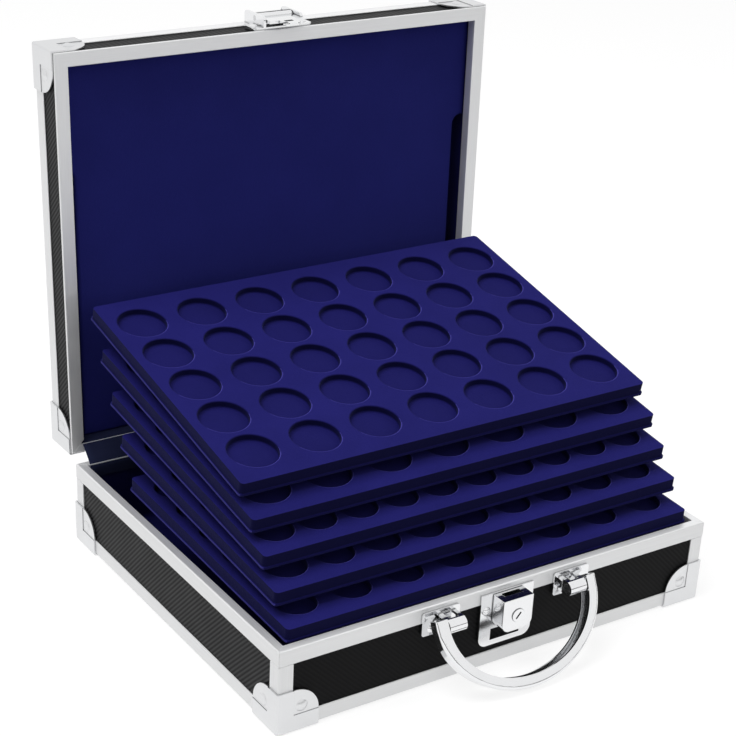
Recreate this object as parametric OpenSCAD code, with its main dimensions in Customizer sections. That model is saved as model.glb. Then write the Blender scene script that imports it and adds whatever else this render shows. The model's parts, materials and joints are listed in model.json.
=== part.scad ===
// Aluminium-framed coin case: a base and a hinged lid of black boards held in metal extrusions,
// five lift-out coin trays, a key lock with a swinging hasp, and a bail handle.
// Millimetres. +X to the right, +Y to the back, +Z up. The origin is on the standing surface,
// at the middle of the ground the open case covers.

/* [Case] */
// Outside width of the case
case_w = 260; // [240:1:300]
// Outside depth of the case, front to back
case_d = 215; // [205:1:250]
// Height of the base shell, without its corner caps
base_h = 45; // [44:0.5:60]
// Height of the lid shell, without its corner caps
lid_h = 23.5; // [23:0.5:35]
// Gap between the two rims when the lid is down
lid_gap = 1; // [0.8:0.1:1.6]
// Angle that the lid stands open
lid_open = 91; // [91:0.5:96]

/* [Shell] */
// Thickness of the side boards
panel_t = 3.2; // [2.5:0.1:4]
// Thickness of the bottom and top boards
board_t = 3; // [2:0.1:4]
// Thickness of the metal extrusions
metal_t = 0.8; // [0.6:0.05:1.1]
// Height of the rim extrusion's outer leg
rim_h = 8.5; // [7.5:0.5:10]
// Height of the rim extrusion's inner leg
rim_lip = 6; // [4:0.5:7]
// Leg of the edge angles and of the corner posts
edge_w = 8; // [6:0.5:9]
// Thickness of the velour lining
lining_t = 0.8; // [0.5:0.1:0.8]
// Thickness of the velour strip over the hinge line
cover_t = 0.35; // [0.2:0.05:0.38]

/* [Corner caps] */
// Sheet thickness of the corner caps
cap_t = 1; // [0.8:0.1:1.4]
// Reach of a cap along each edge
cap_reach = 22; // [20:0.5:22.5]
// Radius of a cap's round lobes
cap_lobe_r = 13.5; // [11:0.5:14]
// Radius of the rivet heads
rivet_r = 3.2; // [2:0.1:3.4]
// Height of the rivet heads
rivet_dome = 1.1; // [0.8:0.1:1.5]
// Distance of a cap's rivets from its edges
cap_rivet_in = 12.6; // [12:0.1:14]
// Width of the raised band along a cap's edges
cap_band = 8.2; // [7:0.1:8.5]
// Step from the raised band down to a cap's round lobes
cap_step = 0.35; // [0.2:0.05:0.5]

/* [Hinge] */
// Length of the hinge
hinge_len = 208; // [160:1:212]
// Number of knuckles
knuckles = 9; // [5:2:15]
// Outer radius of the knuckles
knuckle_r = 2.6; // [2.2:0.1:3]
// Height of a hinge leaf
leaf_h = 8; // [6:0.5:8]
// Thickness of a hinge leaf
leaf_t = 0.8; // [0.6:0.1:1]
// Radius of the hinge pin
hinge_pin_r = 1.2; // [1:0.1:1.4]

/* [Lid pad] */
// How deep the pad's face lies below the lid's rim
pad_recess = 8.5; // [8.5:0.25:10]
// Thickness of the pad
pad_t = 5; // [3:0.5:7]
// Width of the two side notches
notch_w = 7; // [4:0.5:10]
// Length of the two side notches from the hinge end
notch_len = 148; // [100:1:160]
// Corner radius of the notches
notch_r = 5; // [2:0.5:7]

/* [Trays] */
// Free space at each side of a tray in the case
tray_side_gap = 2.7; // [1.5:0.1:6]
// Free space in front of the stacked trays
tray_front_gap = 1.7; // [1:0.1:4]
// Free space behind the stacked trays
tray_rear_gap = 43.7; // [42:0.1:70]
// Height of a tray
tray_t = 7; // [6:0.1:7]
// Wall of the moulded trays
tray_wall = 1.2; // [0.8:0.1:1.6]
// Width of the foot flange round a tray
flange_w = 1.5; // [1:0.1:2.5]
// Height of the foot flange round a tray
flange_h = 1.2; // [0.8:0.1:2]
// Corner radius of a tray
tray_r = 2; // [1.5:0.5:8]
// Diameter of the coin cells in the upper two trays
cell_d = 25.6; // [20:0.1:27]
// Diameter of the coin cells in the third tray
third_cell_d = 20.4; // [17:0.1:22]
// Diameter of the coin cells in the fourth tray
fourth_cell_d = 21.8; // [18:0.1:24]
// Diameter of the coin cells in the lowest tray
lowest_cell_d = 20.8; // [18:0.1:26]
// Depth of the coin cells
cell_depth = 3.6; // [2:0.1:4]
// Least wall between two cells across the upper two trays
cell_wall_x = 7; // [3:0.5:9]
// Least wall between two cells across the third tray
third_wall_x = 2.8; // [2.6:0.1:9]
// Least wall between two cells across the fourth tray
fourth_wall_x = 4; // [3:0.1:9]
// Least wall between two cells across the lowest tray
lowest_wall_x = 8; // [3:0.1:12]
// Least wall between two cells front to back
cell_wall_y = 3; // [3:0.5:6]
// Margin from the outer cells to the tray's side edges
cell_margin_x = 4.4; // [3:0.1:10]
// Margin from the outer cells to the tray's front and back edges
cell_margin_y = 7.7; // [3:0.1:10]

/* [Tray fan] */
// Top tray's front edge, back from the front of the case
fan_back = 49.5; // [44:0.1:50]
// Top tray's front edge, up from the base rim
fan_rise = 61.3; // [58:0.1:64]
// Tilt of the top tray
fan_tilt = 11.2; // [10:0.1:11.5]
// Step of each tray towards the front
fan_step_y = 10.9; // [9:0.1:10.9]
// Step of each tray down
fan_step_z = 13.8; // [13:0.1:14]
// Step of each tray's tilt
fan_step_tilt = 2.25; // [2:0.05:2.4]

/* [Lock] */
// Width of the lock plate
lock_w = 32; // [26:0.5:40]
// Height of the lock plate
lock_h = 30; // [28:0.5:31]
// Distance of the lock plate's top below the base rim
lock_drop = 2.8; // [2.5:0.1:4]
// Sheet thickness of the plates on the front
plate_t = 1.2; // [1:0.1:1.6]
// Width of the lock box
box_w = 18; // [16:0.5:22]
// Height of the lock box
box_h = 18; // [17.5:0.25:19]
// Depth of the lock box
box_depth = 8; // [7.6:0.1:10]
// Wall of the lock box
box_wall = 1.2; // [0.8:0.1:1.3]
// Corner radius at the foot of the lock plate
lock_foot_r = 5; // [3:0.5:6]
// Corner radius at the foot of the lock box
box_foot_r = 4.5; // [3:0.5:6]
// Distance of the lock box's top below the plate's top
box_inset = 0.5; // [0.3:0.1:1]
// Height of the metal below the lock plate's window
sill_h = 3; // [2:0.1:4]
// Height of the metal between the window and the lock box
window_gap = 2; // [1:0.1:3]
// Radius of the rivet heads on the front plates
plate_rivet_r = 2.2; // [1.6:0.1:2.4]
// Distance of the lock's rivets below the plate's top
lock_rivet_drop = 9; // [6:0.1:12]
// Radius of the key barrel
barrel_r = 3; // [2.6:0.1:4]
// Radius of the key barrel's body behind the lock box's face
barrel_body_r = 4.4; // [3.5:0.1:5]
// Lip of the key barrel's flange
barrel_lip = 0.5; // [0.3:0.1:0.8]
// Distance of the key barrel below the middle of the lock box
barrel_drop = 0.5; // [0:0.1:1]
// Width of the keyway
keyway_w = 1; // [0.8:0.1:1.4]
// Length of the keyway
keyway_h = 4.2; // [3:0.1:4.6]
// Turn of the keyway when the lock is open
keyway_turn = 40; // [0:1:60]
// Width of the lock bolt's arm
bolt_arm = 1; // [0.8:0.1:1.4]

/* [Hasp] */
// Width of the hasp tongue between its cheeks
tongue_w = 20; // [16:0.5:24]
// Width of the tongue's narrow tip
tip_w = 9; // [8:0.1:9.4]
// Thickness of the tongue
tongue_t = 1.5; // [1:0.1:1.8]
// How far the tongue reaches into the lock box
tip_reach = 5; // [4.6:0.1:5.4]
// Height of the hasp pin above the lid's rim
hasp_rise = 11; // [10:0.5:13]
// Stand-off of the hasp pin from the lid's front
hasp_out = 4.2; // [3.8:0.1:4.6]
// Radius of the hasp pin
hasp_pin_r = 1.2; // [0.9:0.1:1.4]
// Thickness of the hasp's cheeks
cheek_t = 1.5; // [1:0.1:2]
// Length of the hasp's cheeks up the lid
cheek_len = 20; // [18:0.1:20.5]
// Height of the hasp's cheeks above the lid's front
cheek_h = 6.6; // [6:0.1:7.5]
// Distance of the hasp's cheeks from the lid's rim
cheek_gap = 1.5; // [1.2:0.1:2]
// Corner radius of the hasp's cheeks and tabs
cheek_r = 2; // [1:0.1:2.4]
// Width of the hasp's two side tabs
hasp_tab_w = 6; // [5:0.1:8]
// Length of the hasp's side tabs up the lid
hasp_tab_h = 11; // [8:0.1:12]
// Width of the eye in the tongue's tip
tip_eye_w = 5; // [3:0.1:5.4]
// Height of the eye in the tongue's tip
tip_eye_h = 2.6; // [1.5:0.1:2.8]

/* [Handle] */
// Half the distance between the middles of the handle's two legs
handle_half = 45.6; // [42:0.1:60]
// Drop of the handle's cross bar below its pins
handle_drop = 38; // [36:0.1:38.1]
// Bend radius of the handle, along its middle
bar_bend = 34; // [26:0.5:34]
// Width of the handle's channel in the plane of the handle
bail_w = 6.2; // [5.5:0.1:6.3]
// Depth of the handle's channel
bail_d = 8; // [7.2:0.1:8.2]
// Sheet thickness of the handle's channel
bail_t = 1.2; // [0.8:0.1:1.4]
// Radius along the channel's outer edges
bail_r = 2; // [1.5:0.1:2.5]
// Angle that the hanging handle stands away from the case
handle_lean = 28.3; // [28:0.1:35]
// Height of the handle pins above the standing surface
handle_z = 37.6; // [37.4:0.1:39]
// Stand-off of the handle pins from the front
handle_out = 8; // [7.6:0.1:10]
// Radius of the handle pins
handle_pin_r = 2.4; // [1.8:0.1:2.5]
// Thickness of the strap that loops round a handle pin
loop_t = 1.4; // [1:0.1:1.8]
// Width of the strap that loops round a handle pin
loop_w = 10; // [8:0.1:12]
// Clearance between a strap's loop and the handle's leg
loop_gap = 0.7; // [0.4:0.1:1.2]
// Width of the window in a strap's top
loop_window_w = 6; // [4:0.1:7]
// Width of a handle bracket's plate
bracket_w = 22; // [20:0.1:26]
// Margin of a handle bracket's plate beside its loop
bracket_margin = 2.8; // [1.5:0.1:4]
// Reach of a handle bracket's plate below the pin
bracket_foot = 7; // [6:0.1:9]
// Distance of a handle bracket's plate below the base rim
bracket_drop = 2.5; // [2:0.1:4]
// Corner radius of the handle bracket's plate
bracket_r = 1.5; // [1:0.1:3]

/* [Hidden] */
// Running clearance of a pin in its bore
pin_fit = 0.05;
// Side clearance between moving pieces
side_fit = 0.3;
// Clearance round the tongue in the lock box's slot
slot_fit = 0.8;
// Fineness of the curves
$fn = 48;
// A length past any piece, for cuts
past = 600;
tray_count = 5;

// Case sections
rim_w = 2 * metal_t + panel_t;
inner_w = case_w - 2 * rim_w;
inner_d = case_d - 2 * rim_w;
wall_foot = metal_t + board_t;
split_z = cap_t + base_h;
lid_rim_z = split_z + lid_gap;
lid_top_z = lid_rim_z + lid_h;
hinge_out = leaf_t + knuckle_r;
hinge_y = case_d / 2 + hinge_out;
hinge_z = split_z + lid_gap / 2;
knuckle_len = hinge_len / knuckles;

// Tray sections
tray_w = inner_w - 2 * tray_side_gap;
tray_d = inner_d - tray_front_gap - tray_rear_gap;
deck_w = tray_w - 2 * flange_w;
deck_d = tray_d - 2 * flange_w;
cells_w = deck_w - 2 * cell_margin_x;
cells_d = deck_d - 2 * cell_margin_y;
// Cell diameter and least wall across of each tray, from the top
tray_cells = [
    [cell_d, cell_wall_x], [cell_d, cell_wall_x], [third_cell_d, third_wall_x],
    [fourth_cell_d, fourth_wall_x], [lowest_cell_d, lowest_wall_x]
];
// Number of cells of diameter d, with a least wall between them, in a length
function cell_count(length, d, wall) = floor((length + wall) / (d + wall));

// Front fittings
lock_top = split_z - lock_drop;
lock_foot = lock_top - lock_h;
box_top = lock_top - box_inset;
box_inner_w = box_w - 2 * box_wall;
box_face = plate_t + box_depth + box_wall;
barrel_z = box_top - box_h / 2 - barrel_drop;
hasp_z = lid_rim_z + hasp_rise;
tip_z = box_top - tip_reach;
bolt_z = tip_z + 1.4;
bolt_h = 1.7;
bolt_w = (box_inner_w - tip_w) / 2 - side_fit;
bolt_travel = bolt_w - bolt_arm;
cheek_in = tongue_w / 2 + side_fit;
cheek_low = lid_rim_z + cheek_gap;
loop_in = handle_half - bail_w / 2 - loop_gap - loop_w;
loop_r = handle_pin_r + pin_fit + loop_t;

// The middle of the ground covered, from the handle's front to the back of the open lid's caps
ground_front = -case_d / 2 - handle_out - (handle_drop + bail_w / 2 - bail_r) * sin(handle_lean)
    - (bail_d / 2 - bail_r) * cos(handle_lean) - bail_r;
ground_back = hinge_y + (lid_top_z + cap_t - hinge_z) * sin(lid_open)
    - (case_d + hinge_out + cap_t) * cos(lid_open);
origin_y = (ground_front + ground_back) / 2;

// Puts a piece of the base in the frame
module placed() {
    translate([0, -origin_y, 0]) children();
}

// Puts a shell piece, modelled from its outer board upwards, into the base
module on_base() {
    placed() translate([0, 0, cap_t]) children();
}

// Swings a piece of the closed lid open about the hinge
module lid_swung() {
    placed() translate([0, hinge_y, hinge_z]) rotate([-lid_open, 0, 0])
        translate([0, -hinge_y, -hinge_z]) children();
}

// Turns a shell piece over and puts it into the lid
module on_lid() {
    lid_swung() translate([0, 0, lid_top_z]) mirror([0, 0, 1]) children();
}

// Turns a piece of the front side to side number k: front, right, back, left
module side(k) {
    rotate([0, 0, 90 * k]) children();
}

// Length of side number k, and the distance across to the side that faces it
function run(k) = k % 2 == 0 ? case_w : case_d;
function across(k) = k % 2 == 0 ? case_d : case_w;

// A rectangle with round corners, centred
module round_rect(w, d, r) {
    square([w - 2 * r, d], center = true);
    square([w, d - 2 * r], center = true);
    for (sx = [-1, 1])
        for (sy = [-1, 1])
            translate([sx * (w / 2 - r), sy * (d / 2 - r)]) circle(r);
}

// Section of the angle extrusion: two legs and a rounded outside corner
module angle_section() {
    translate([metal_t, 0]) square([edge_w - metal_t, metal_t]);
    translate([0, metal_t]) square([metal_t, edge_w - metal_t]);
    intersection() {
        translate([metal_t, metal_t]) circle(metal_t);
        square(metal_t);
    }
}

// Section of the rim extrusion, a channel over the top edge of a board, at height h
module rim_section(h) {
    translate([0, h - rim_h]) square([metal_t, rim_h - metal_t]);
    translate([metal_t, h - metal_t]) square([rim_w - metal_t, metal_t]);
    translate([rim_w - metal_t, h - rim_lip]) square([metal_t, rim_lip - metal_t]);
    intersection() {
        translate([metal_t, h - metal_t]) circle(metal_t);
        translate([0, h - metal_t]) square(metal_t);
    }
}

// A section run along side k and mitred at both ends
module mitred_bar(k) {
    half = run(k) / 2;
    reach = max(edge_w, rim_w);
    side(k) translate([0, -across(k) / 2, 0]) intersection() {
        translate([-half, 0, 0]) rotate([90, 0, 90]) linear_extrude(2 * half) children();
        linear_extrude(past, center = true)
            polygon([[-half, 0], [half, 0], [half - reach, reach], [reach - half, reach]]);
    }
}

// Board on side k of a shell of height h; the front and back boards run past the side boards
module shell_panel(k, h) {
    span = k % 2 == 0 ? run(k) - 2 * metal_t : run(k) - 2 * (metal_t + panel_t);
    side(k) translate([-span / 2, metal_t - across(k) / 2, wall_foot])
        cube([span, panel_t, h - metal_t - wall_foot]);
}

// Outer board of a shell
module shell_board() {
    w = case_w - 2 * metal_t;
    d = case_d - 2 * metal_t;
    translate([-w / 2, -d / 2, metal_t]) cube([w, d, board_t]);
}

// Copies a piece made for the front left corner to all four corners
module at_corners() {
    for (sx = [0, 1])
        for (sy = [0, 1])
            mirror([sx, 0, 0]) mirror([0, sy, 0]) translate([-case_w / 2, -case_d / 2, 0]) children();
}

// Corner posts of a shell of height h, from the edge angles to the rim
module shell_posts(h) {
    at_corners() translate([0, 0, edge_w]) linear_extrude(h - rim_h - edge_w) angle_section();
}

// Outline of one face of a corner cap: a round lobe on two straight edges
module cap_lobe() {
    middle = cap_reach - cap_lobe_r;
    intersection() {
        square(cap_reach);
        union() {
            square([cap_reach, edge_w]);
            square([edge_w, cap_reach]);
            translate([middle, middle]) circle(cap_lobe_r);
        }
    }
}

// The raised band along two edges of a corner cap
module cap_bands() {
    square([cap_reach, cap_band]);
    square([cap_band, cap_reach]);
}

// A pressed corner cap: three lobes joined by round edges and a round corner, with a raised band along
// the edges of the two upright faces
module corner_cap() {
    lobe_t = cap_t - cap_step;
    difference() {
        union() {
            translate([0, 0, -cap_t]) linear_extrude(cap_t) cap_lobe();
            rotate([90, 0, 0]) {
                linear_extrude(lobe_t) cap_lobe();
                linear_extrude(cap_t) cap_bands();
            }
            rotate([90, 0, 90]) mirror([0, 0, 1]) {
                linear_extrude(lobe_t) cap_lobe();
                linear_extrude(cap_t) cap_bands();
            }
            cylinder(r = cap_t, h = cap_reach);
            rotate([0, 90, 0]) cylinder(r = cap_t, h = cap_reach);
            rotate([-90, 0, 0]) cylinder(r = cap_t, h = cap_reach);
            sphere(cap_t);
        }
        cube(past);
    }
}

// A domed rivet head of radius r, standing on z = 0 and sunk below it by a root
module rivet_head(r, root = 0) {
    ball = (r * r + rivet_dome * rivet_dome) / (2 * rivet_dome);
    intersection() {
        translate([0, 0, rivet_dome - ball]) sphere(ball);
        translate([0, 0, -root]) cylinder(r = 2 * r, h = root + 2 * rivet_dome);
    }
}

// The two rivets in each corner cap
module cap_rivets() {
    lobe_t = cap_t - cap_step;
    at_corners() {
        translate([cap_rivet_in, -lobe_t, cap_rivet_in]) rotate([90, 0, 0]) rivet_head(rivet_r);
        translate([-lobe_t, cap_rivet_in, cap_rivet_in]) rotate([0, -90, 0]) rivet_head(rivet_r);
    }
}

// Velour lining of a shell of height h, with a strip at the back that runs over the rim to the hinge
module shell_lining(h) {
    w = inner_w + 2 * metal_t;
    d = inner_d + 2 * metal_t;
    wall_top = h - rim_lip;
    translate([-w / 2, -d / 2, wall_foot]) difference() {
        cube([w, d, wall_top - wall_foot]);
        translate([lining_t, lining_t, lining_t]) cube([w - 2 * lining_t, d - 2 * lining_t, past]);
    }
    translate([-inner_w / 2, inner_d / 2 - cover_t, wall_top - lining_t])
        cube([inner_w, cover_t, rim_lip + cover_t + lining_t]);
    translate([-inner_w / 2, inner_d / 2 - cover_t, h])
        cube([inner_w, rim_w + cover_t, cover_t]);
}

module base_bottom_board() {
    color("#1c1c1e") on_base() shell_board();
}

module base_panel(k) {
    color("#202022") on_base() shell_panel(k, base_h);
}

module base_rim(k) {
    color("#d9dade") on_base() mitred_bar(k) rim_section(base_h);
}

module base_edge(k) {
    color("#d3d4d8") on_base() mitred_bar(k) angle_section();
}

module base_corner_posts() {
    color("#d6d7db") on_base() shell_posts(base_h);
}

module base_corner_caps() {
    color("#c9cacd") on_base() at_corners() corner_cap();
}

module base_cap_rivets() {
    color("#bfc0c4") on_base() cap_rivets();
}

module base_lining() {
    color("#14164f") on_base() shell_lining(base_h);
}

module lid_top_board() {
    color("#1c1c1e") on_lid() shell_board();
}

module lid_panel(k) {
    color("#202022") on_lid() shell_panel(k, lid_h);
}

module lid_rim(k) {
    color("#d9dade") on_lid() mitred_bar(k) rim_section(lid_h);
}

module lid_edge(k) {
    color("#d3d4d8") on_lid() mitred_bar(k) angle_section();
}

module lid_corner_posts() {
    color("#d6d7db") on_lid() shell_posts(lid_h);
}

module lid_corner_caps() {
    color("#c9cacd") on_lid() at_corners() corner_cap();
}

module lid_cap_rivets() {
    color("#bfc0c4") on_lid() cap_rivets();
}

module lid_lining() {
    color("#0d0e24") on_lid() shell_lining(lid_h);
}

// The lid's padded velour board, notched along both sides from the hinge end
module lid_pad() {
    w = inner_w + 2 * (metal_t - lining_t);
    d = inner_d + 2 * (metal_t - lining_t);
    color("#191c6b") on_lid() translate([0, 0, lid_h - pad_recess - pad_t]) linear_extrude(pad_t) difference() {
        square([w, d], center = true);
        for (s = [-1, 1]) {
            translate([s * w / 2, d / 2 - notch_len + notch_r])
                square([2 * (notch_w - notch_r), 2 * (notch_len - 2 * notch_r) + 2 * notch_r], center = true);
            translate([s * w / 2, d / 2]) square([2 * notch_w, 2 * (notch_len - notch_r)], center = true);
            translate([s * (w / 2 - notch_w + notch_r), d / 2 - notch_len + notch_r]) circle(notch_r);
        }
    }
}

// Leaf with every second knuckle, lying on the outside of a back rim, drawn for the base
module hinge_leaf(first) {
    difference() {
        union() {
            translate([-hinge_len / 2, case_d / 2, split_z - leaf_h]) cube([hinge_len, leaf_t, leaf_h - side_fit]);
            for (i = [first : 2 : knuckles - 1])
                translate([i * knuckle_len - hinge_len / 2 + side_fit / 2, 0, 0]) {
                    translate([0, hinge_y, hinge_z]) rotate([0, 90, 0])
                        cylinder(r = knuckle_r, h = knuckle_len - side_fit);
                    translate([0, case_d / 2, hinge_z - knuckle_r])
                        cube([knuckle_len - side_fit, hinge_out, knuckle_r]);
                }
        }
        translate([-past / 2, hinge_y, hinge_z]) rotate([0, 90, 0])
            cylinder(r = hinge_pin_r + pin_fit, h = past);
    }
}

module hinge_leaf_base() {
    color("#b9bac0") placed() hinge_leaf(0);
}

module hinge_leaf_lid() {
    color("#b9bac0") lid_swung() translate([0, 0, 2 * hinge_z]) mirror([0, 0, 1]) hinge_leaf(1);
}

module hinge_pin() {
    color("#9b9ca2") placed() translate([-hinge_len / 2, hinge_y, hinge_z]) rotate([0, 90, 0])
        cylinder(r = hinge_pin_r, h = hinge_len);
}

// Stands a flat outline up against the front of the case; thickness t grows towards the viewer
module upright(t) {
    translate([0, -case_d / 2, 0]) rotate([90, 0, 0]) linear_extrude(t) children();
}

// The back of a front plate pressed in behind the metal, down to the board
module pressed_back(w, low, high) {
    translate([-w / 2, -case_d / 2, low]) cube([w, metal_t, high - low]);
}

// An outline with square shoulders and a rounded foot
module footed(w, top, h, foot_r) {
    translate([-w / 2, top - h + foot_r]) square([w, h - foot_r]);
    translate([-w / 2 + foot_r, top - h]) square([w - 2 * foot_r, foot_r]);
    for (s = [-1, 1])
        translate([s * (w / 2 - foot_r), top - h + foot_r]) circle(foot_r);
}

// The lock's back plate, with a window below the lock box
module lock_plate() {
    window_low = lock_foot + sill_h;
    window_high = box_top - box_h - window_gap;
    color("#c4c5c9") placed() difference() {
        union() {
            upright(plate_t) footed(lock_w, lock_top, lock_h, lock_foot_r);
            pressed_back(lock_w - 2 * lock_foot_r, lock_foot, split_z - rim_h);
        }
        translate([-box_w / 2, -case_d / 2 - 2 * plate_t, window_low])
            cube([box_w, 4 * plate_t, window_high - window_low]);
    }
}

// The hollow lock box, with a slot on top for the hasp and a bore for the key barrel
module lock_box() {
    slot_w = tip_w + 2 * slot_fit;
    slot_d = tongue_t + 2 * slot_fit;
    color("#d2d3d7") placed() difference() {
        upright(box_face) footed(box_w, box_top, box_h, box_foot_r);
        upright(box_face - box_wall)
            footed(box_inner_w, box_top - box_wall, box_h - 2 * box_wall, box_foot_r - box_wall);
        upright(plate_t) square(past, center = true);
        translate([-slot_w / 2, -case_d / 2 - hasp_out - slot_d / 2, box_top - 2 * box_wall])
            cube([slot_w, slot_d, 3 * box_wall]);
        translate([0, -case_d / 2, barrel_z]) rotate([90, 0, 0]) cylinder(r = barrel_r + pin_fit, h = past);
    }
}

// The key barrel: a plug with a flange in front, a keyway and a wider body inside the box
module lock_key_barrel() {
    tail = hasp_out + tongue_t / 2 + 2 * side_fit;
    flange_t = barrel_lip;
    color("#dcdde0") placed() translate([0, -case_d / 2, barrel_z]) rotate([90, 0, 0]) difference() {
        union() {
            translate([0, 0, tail]) cylinder(r = barrel_r, h = box_face - tail + side_fit);
            translate([0, 0, tail]) cylinder(r = barrel_body_r, h = box_face - box_wall - side_fit - tail);
            translate([0, 0, box_face + side_fit / 3]) cylinder(r = barrel_r + barrel_lip, h = flange_t);
        }
        rotate([0, 0, -keyway_turn]) translate([-keyway_w / 2, -keyway_h / 2, box_face - 2 * keyway_w])
            cube([keyway_w, keyway_h, past]);
    }
}

// The bolt that the key slides into the side of the hasp's tip
module lock_bolt() {
    depth = tongue_t + 2 * side_fit;
    color("#b4a05c") placed()
        translate([-box_inner_w / 2 + side_fit / 2, -case_d / 2 - hasp_out - depth / 2, 0]) {
            translate([0, 0, bolt_z]) cube([bolt_w, depth, bolt_h]);
            translate([0, 0, barrel_z]) cube([bolt_arm, depth, bolt_z - barrel_z + bolt_h]);
        }
}

// Rivets on a front plate, as pairs at the given half width and heights
module plate_rivets(half, heights) {
    for (s = [-1, 1])
        for (z = heights)
            translate([s * half, -case_d / 2 - plate_t, z]) rotate([90, 0, 0]) rivet_head(plate_rivet_r);
}

module lock_rivets() {
    half = (lock_w + box_w) / 4;
    color("#bfc0c4") placed() plate_rivets(half, [lock_top - lock_rivet_drop]);
}

// Side view of the hasp's cheeks, drawn outwards along -X and up from the lid's rim
module cheek_section() {
    translate([-cheek_h + cheek_r, 0]) square([cheek_h - cheek_r, cheek_len]);
    translate([-cheek_h, cheek_r]) square([cheek_r, cheek_len - 2 * cheek_r]);
    for (z = [cheek_r, cheek_len - cheek_r])
        translate([cheek_r - cheek_h, z]) circle(cheek_r);
}

// The hasp's bracket on the lid's front: a pressed channel with two cheeks, an end tab between them at the
// far end, and a tab on each side for its rivets
module hasp_bracket() {
    channel_w = 2 * (cheek_in + cheek_t);
    color("#cbccd0") lid_swung() difference() {
        union() {
            upright(plate_t) {
                translate([-channel_w / 2, cheek_low]) square([channel_w, cheek_len]);
                translate([0, cheek_low + hasp_tab_h / 2])
                    round_rect(channel_w + 2 * hasp_tab_w, hasp_tab_h, cheek_r);
            }
            pressed_back(channel_w, lid_rim_z + rim_h, lid_top_z - edge_w);
            translate([0, -case_d / 2, cheek_low]) {
                for (s = [0, 1])
                    mirror([s, 0, 0]) translate([cheek_in, 0, 0]) rotate([90, 0, 90])
                        linear_extrude(cheek_t) cheek_section();
                translate([-channel_w / 2, cheek_r - cheek_h, cheek_len - cheek_t])
                    cube([channel_w, cheek_h - cheek_r, cheek_t]);
            }
        }
        translate([-past / 2, -case_d / 2 - hasp_out, hasp_z]) rotate([0, 90, 0])
            cylinder(r = hasp_pin_r + pin_fit, h = past);
    }
}

module hasp_pin() {
    length = tongue_w + 2 * (side_fit + cheek_t);
    color("#9b9ca2") lid_swung() translate([-length / 2, -case_d / 2 - hasp_out, hasp_z]) rotate([0, 90, 0])
        cylinder(r = hasp_pin_r, h = length);
}

// The swinging tongue: a rolled edge on the pin, a broad blade, and a narrow tip with an eye and with a notch
// for the bolt
module hasp_tongue() {
    shoulder = box_top + 2.5;
    tip_r = 2;
    color("#d8d9dc") lid_swung() difference() {
        union() {
            translate([-tongue_w / 2, -case_d / 2 - hasp_out, hasp_z]) rotate([0, 90, 0])
                cylinder(r = hasp_pin_r + 1, h = tongue_w);
            translate([0, tongue_t / 2 - hasp_out, 0]) upright(tongue_t) {
                translate([-tongue_w / 2, shoulder]) square([tongue_w, hasp_z - shoulder]);
                translate([-tip_w / 2, tip_z + tip_r]) square([tip_w, shoulder - tip_z]);
                translate([-tip_w / 2 + tip_r, tip_z]) square([tip_w - 2 * tip_r, tip_r]);
                for (s = [-1, 1])
                    translate([s * (tip_w / 2 - tip_r), tip_z + tip_r]) circle(tip_r);
            }
        }
        translate([-past / 2, -case_d / 2 - hasp_out, hasp_z]) rotate([0, 90, 0])
            cylinder(r = hasp_pin_r + pin_fit, h = past);
        translate([-tip_w, -case_d / 2 - hasp_out - tongue_t, bolt_z - side_fit])
            cube([tip_w / 2 + bolt_travel + side_fit, 2 * tongue_t, bolt_h + 2 * side_fit]);
        translate([-tip_eye_w / 2, -case_d / 2 - hasp_out - tongue_t, shoulder - tongue_t / 2 - tip_eye_h])
            cube([tip_eye_w, 2 * tongue_t, tip_eye_h]);
    }
}

module hasp_rivets() {
    half = cheek_in + cheek_t + hasp_tab_w / 2;
    color("#bfc0c4") lid_swung() plate_rivets(half, [cheek_low + hasp_tab_h / 2]);
}

// Side view of the strap that loops round a handle pin, drawn outwards along -X and level with the pin: it comes
// out from the plate, turns round the pin and goes back, with its end bent up behind the pin
module loop_section() {
    bore_r = handle_pin_r + pin_fit;
    difference() {
        union() {
            translate([-handle_out, 0]) circle(loop_r);
            translate([-handle_out, -loop_r]) square([handle_out, 2 * loop_r]);
        }
        translate([-handle_out, 0]) circle(bore_r);
        translate([bore_r + loop_t - handle_out, -bore_r])
            square([handle_out - bore_r - loop_t - plate_t, 2 * bore_r]);
    }
}

// A handle bracket for the side s = -1 or 1: a riveted plate and a strap with a window in its top
module handle_bracket(s) {
    plate_low = handle_z - bracket_foot;
    plate_high = split_z - bracket_drop;
    plate_mid = loop_in - bracket_margin + bracket_w / 2;
    rivet_x = loop_in + loop_w + loop_gap + bail_w / 2;
    color("#c8c9cd") placed() mirror([s < 0 ? 1 : 0, 0, 0]) difference() {
        union() {
            translate([plate_mid, 0, 0]) {
                upright(plate_t) translate([0, (plate_low + plate_high) / 2])
                    round_rect(bracket_w, plate_high - plate_low, bracket_r);
                pressed_back(bracket_w - 2 * bracket_r, plate_low, split_z - rim_h);
            }
            translate([loop_in, -case_d / 2, handle_z]) rotate([90, 0, 90]) linear_extrude(loop_w) loop_section();
            translate([rivet_x, -case_d / 2 - plate_t, plate_low + bracket_foot / 2]) rotate([90, 0, 0])
                rivet_head(plate_rivet_r, plate_t / 2);
        }
        translate([loop_in + (loop_w - loop_window_w) / 2, -case_d / 2 - handle_out + loop_t / 2, handle_z + loop_t])
            cube([loop_window_w, handle_out - plate_t - loop_t, 2 * loop_r]);
    }
}

module handle_bracket_left() {
    handle_bracket(-1);
}

module handle_bracket_right() {
    handle_bracket(1);
}

// The two handle pins, from the inner side of the loops to the outside of the handle's legs
module handle_pins() {
    length = loop_w + loop_gap + bail_w;
    color("#9b9ca2") placed()
        for (s = [0, 1])
            mirror([s, 0, 0]) translate([loop_in, -case_d / 2 - handle_out, handle_z]) rotate([0, 90, 0])
                cylinder(r = handle_pin_r, h = length);
}

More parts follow.
